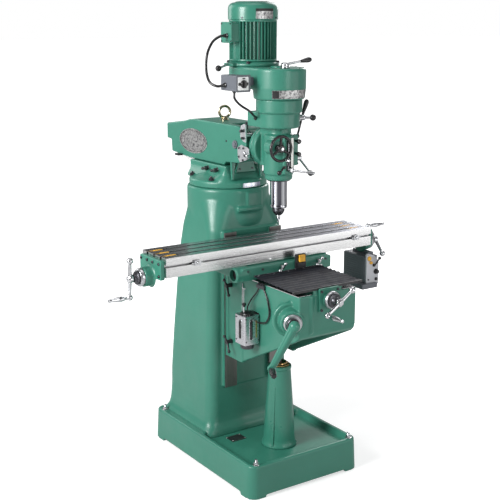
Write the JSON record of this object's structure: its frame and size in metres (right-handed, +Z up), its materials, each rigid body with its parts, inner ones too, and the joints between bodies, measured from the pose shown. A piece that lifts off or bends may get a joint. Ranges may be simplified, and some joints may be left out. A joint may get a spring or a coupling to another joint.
{
  "type": "turret milling machine",
  "caption": "Vertical turret milling machine: tray base, column, lifting knee, sliding saddle and slotted table, sliding ram, tilting head with quill, finned motor.",
  "frame": {"origin": "on the floor, midway between the ends of the object's box in X and in Y", "axes": "+Z up, +X along the table to the operator's right, +Y from the operator towards the column"},
  "size_m": [1.729, 1.5364, 2.384],
  "materials": {
    "green_paint": "gloss enamel over filled cast iron",
    "machined_iron": "ground and scraped",
    "steel": "turned and ground",
    "chrome": "polished plating",
    "black_plastic": "moulded phenolic",
    "black_metal": "black oxide and enamel",
    "rubber": "matte ribbed",
    "aluminium": "satin, graduated",
    "grey_paint": "satin",
    "bronze": "machined"
  },
  "bodies": {
    "stand": {"base_casting": "green_paint", "column_casting": "green_paint", "knee_screw_pedestal": "green_paint", "pedestal_nut": "bronze"},
    "turret": {"turret_casting": "green_paint"},
    "ram_lock_front": {"ram_lock_bolt_front": "black_metal"},
    "ram_lock_rear": {"ram_lock_bolt_rear": "black_metal"},
    "ram": {"ram_casting": "green_paint", "eye_bolt": "steel", "nod_pivot_bolt": "steel"},
    "knuckle": {"ram_knuckle": "green_paint"},
    "head": {"head_casting": "green_paint", "belt_housing": "green_paint", "motor_flange": "green_paint", "motor_body": "green_paint", "motor_fan_cover": "green_paint", "motor_terminal_box": "green_paint", "switch_box": "grey_paint", "drive_belt": "rubber"},
    "quill": {"quill": "steel"},
    "spindle": {"spindle": "steel", "end_mill": "steel"},
    "spindle_pulley": {"spindle_pulley": "steel"},
    "motor_shaft": {"motor_shaft": "steel"},
    "quill_feed_lever": {"quill_feed_lever": "chrome"},
    "fine_feed_handwheel": {"fine_feed_handwheel": "black_plastic"},
    "spindle_brake_lever": {"spindle_brake_lever": "black_metal"},
    "speed_range_lever": {"speed_range_lever": "chrome"},
    "speed_change_lever": {"speed_change_lever": "chrome"},
    "belt_tension_lever": {"belt_tension_lever": "black_metal"},
    "switch_knob": {"switch_knob": "black_plastic"},
    "feed_rate_knob": {"feed_rate_knob": "black_metal"},
    "quill_lock_lever": {"quill_lock_lever": "chrome"},
    "feed_trip_lever": {"feed_trip_lever": "black_metal"},
    "knee": {"knee_casting": "green_paint", "cross_feed_bracket": "green_paint", "lubricator": "grey_paint", "way_cover_bellows": "rubber"},
    "lubricator_pull": {"lubricator_pull_knob": "black_plastic"},
    "knee_lock_upper": {"knee_lock_lever_upper": "black_metal"},
    "knee_lock_lower": {"knee_lock_lever_lower": "black_metal"},
    "elevating_screw": {"elevating_screw": "steel"},
    "knee_crank": {"knee_crank_shaft": "steel", "knee_crank": "green_paint"},
    "cross_feed": {"cross_feed_screw": "steel", "cross_feed_dial": "aluminium", "cross_feed_crank": "chrome"},
    "saddle": {"saddle_casting": "green_paint", "cross_feed_nut": "bronze"},
    "saddle_lock_left": {"saddle_lock_lever_left": "chrome"},
    "saddle_lock_right": {"saddle_lock_lever_right": "chrome"},
    "table": {"table": "machined_iron", "table_bracket_left": "green_paint", "table_bracket_right": "green_paint", "power_feed_gearbox": "grey_paint"},
    "table_feed": {"table_screw": "steel", "table_dial_left": "aluminium", "table_dial_right": "aluminium", "table_crank_left": "chrome", "table_crank_right": "chrome"}
  },
  "joints": [
    {"name": "turret_swivel", "type": "hinge", "parent": "stand", "child": "turret", "pos_m": [0.043, 0.29825, 1.45], "axis": [0, 0, 1], "range_deg": [-90, 90]},
    {"name": "ram_lock_front", "type": "hinge", "parent": "turret", "child": "ram_lock_front", "pos_m": [-0.075, 0.21825, 1.538], "axis": [1, 0, 0], "range_deg": [-20, 20]},
    {"name": "ram_lock_rear", "type": "hinge", "parent": "turret", "child": "ram_lock_rear", "pos_m": [-0.075, 0.30825, 1.538], "axis": [1, 0, 0], "range_deg": [-20, 20]},
    {"name": "ram_slide", "type": "slide", "parent": "turret", "child": "ram", "axis": [0, -1, 0], "range_m": [0, 0.3]},
    {"name": "head_nod", "type": "hinge", "parent": "ram", "child": "knuckle", "pos_m": [0.043, 0.07325, 1.685], "axis": [1, 0, 0], "range_deg": [-20, 10]},
    {"name": "head_tilt", "type": "hinge", "parent": "knuckle", "child": "head", "pos_m": [0.043, -0.06675, 1.685], "axis": [0, 1, 0], "range_deg": [-45, 45]},
    {"name": "quill_feed", "type": "slide", "parent": "head", "child": "quill", "axis": [0, 0, -1], "range_m": [-0.11, 0.017]},
    {"name": "spindle_spin", "type": "hinge", "parent": "quill", "child": "spindle", "pos_m": [0.043, -0.16175, 1.4], "axis": [0, 0, 1], "continuous": true},
    {"name": "spindle_pulley_spin", "type": "hinge", "parent": "head", "child": "spindle_pulley", "pos_m": [0.043, -0.16175, 2], "axis": [0, 0, 1], "continuous": true},
    {"name": "motor_spin", "type": "hinge", "parent": "head", "child": "motor_shaft", "pos_m": [0.043, 0.06325, 2], "axis": [0, 0, 1], "continuous": true},
    {"name": "quill_lever_turn", "type": "hinge", "parent": "head", "child": "quill_feed_lever", "pos_m": [0.121, -0.16175, 1.6285], "axis": [1, 0, 0], "range_deg": [-320, 52]},
    {"name": "fine_feed_turn", "type": "hinge", "parent": "head", "child": "fine_feed_handwheel", "pos_m": [-0.019, -0.22175, 1.697], "axis": [0, 1, 0], "continuous": true},
    {"name": "brake_lever_swing", "type": "hinge", "parent": "head", "child": "spindle_brake_lever", "pos_m": [0.123, -0.19175, 1.741], "axis": [1, 0, 0], "range_deg": [-18, 12]},
    {"name": "range_lever_push", "type": "slide", "parent": "head", "child": "speed_range_lever", "axis": [0.7507, -0.6606, 0], "range_m": [0, 0.006]},
    {"name": "speed_lever_swing", "type": "hinge", "parent": "head", "child": "speed_change_lever", "pos_m": [0.033, -0.22175, 2.08], "axis": [0, 0, 1], "range_deg": [-25, 25]},
    {"name": "belt_tension_swing", "type": "hinge", "parent": "head", "child": "belt_tension_lever", "pos_m": [-0.1065, 0.06325, 2.083], "axis": [0, 1, 0], "range_deg": [0, 8]},
    {"name": "switch_turn", "type": "hinge", "parent": "head", "child": "switch_knob", "pos_m": [-0.166, -0.16675, 2.003], "axis": [0, 1, 0], "range_deg": [-60, 60]},
    {"name": "feed_rate_turn", "type": "hinge", "parent": "head", "child": "feed_rate_knob", "pos_m": [0.123, -0.19975, 1.712], "axis": [1, 0, 0], "range_deg": [-90, 90]},
    {"name": "quill_lock_turn", "type": "hinge", "parent": "head", "child": "quill_lock_lever", "pos_m": [0.055, -0.24675, 1.586], "axis": [0, 1, 0], "range_deg": [-40, 20]},
    {"name": "feed_trip_swing", "type": "hinge", "parent": "head", "child": "feed_trip_lever", "pos_m": [0.013, -0.24675, 1.6], "axis": [0, 1, 0], "range_deg": [-10, 10]},
    {"name": "knee_lift", "type": "slide", "parent": "stand", "child": "knee", "axis": [0, 0, 1], "range_m": [-0.3, 0.02]},
    {"name": "lubricator_pull", "type": "slide", "parent": "knee", "child": "lubricator_pull", "axis": [0, 0, 1], "range_m": [0, 0.03]},
    {"name": "knee_lock_upper_swing", "type": "hinge", "parent": "knee", "child": "knee_lock_upper", "pos_m": [-0.133, -0.00175, 0.981], "axis": [1, 0, 0], "range_deg": [-25, 25]},
    {"name": "knee_lock_lower_swing", "type": "hinge", "parent": "knee", "child": "knee_lock_lower", "pos_m": [-0.133, -0.00175, 0.681], "axis": [1, 0, 0], "range_deg": [-25, 25]},
    {"name": "elevating_screw_turn", "type": "hinge", "parent": "knee", "child": "elevating_screw", "pos_m": [0.043, -0.18175, 0.96], "axis": [0, 0, 1], "continuous": true},
    {"name": "knee_crank_turn", "type": "hinge", "parent": "knee", "child": "knee_crank", "pos_m": [0.043, -0.18175, 0.925], "axis": [-0.4695, -0.8829, 0], "range_deg": [-175, 90]},
    {"name": "cross_feed_turn", "type": "hinge", "parent": "knee", "child": "cross_feed", "pos_m": [0.043, -0.61175, 1.015], "axis": [0, 1, 0], "continuous": true},
    {"name": "saddle_slide", "type": "slide", "parent": "knee", "child": "saddle", "axis": [0, -1, 0], "range_m": [-0.02, 0.28], "deforming": ["way_cover_bellows"]},
    {"name": "saddle_lock_left_turn", "type": "hinge", "parent": "saddle", "child": "saddle_lock_left", "pos_m": [0.003, -0.24675, 1.108], "axis": [0, 1, 0], "range_deg": [0, 60]},
    {"name": "saddle_lock_right_turn", "type": "hinge", "parent": "saddle", "child": "saddle_lock_right", "pos_m": [0.233, -0.24675, 1.108], "axis": [0, 1, 0], "range_deg": [0, 60]},
    {"name": "table_slide", "type": "slide", "parent": "saddle", "child": "table", "axis": [1, 0, 0], "range_m": [-0.29, 0.36]},
    {"name": "table_feed_turn", "type": "hinge", "parent": "table", "child": "table_feed", "pos_m": [0, -0.08475, 1.123], "axis": [1, 0, 0], "continuous": true}
  ],
  "couplings": [
    {"joint": "spindle_spin", "follows": "motor_spin", "ratio": 1},
    {"joint": "spindle_pulley_spin", "follows": "motor_spin", "ratio": 1},
    {"joint": "quill_lever_turn", "follows": "quill_feed", "rad_per_m": 50},
    {"joint": "elevating_screw_turn", "follows": "knee_lift", "rad_per_m": 1256.6},
    {"joint": "cross_feed_turn", "follows": "saddle_slide", "rad_per_m": 1256.6},
    {"joint": "table_feed_turn", "follows": "table_slide", "rad_per_m": 1256.6}
  ]
}
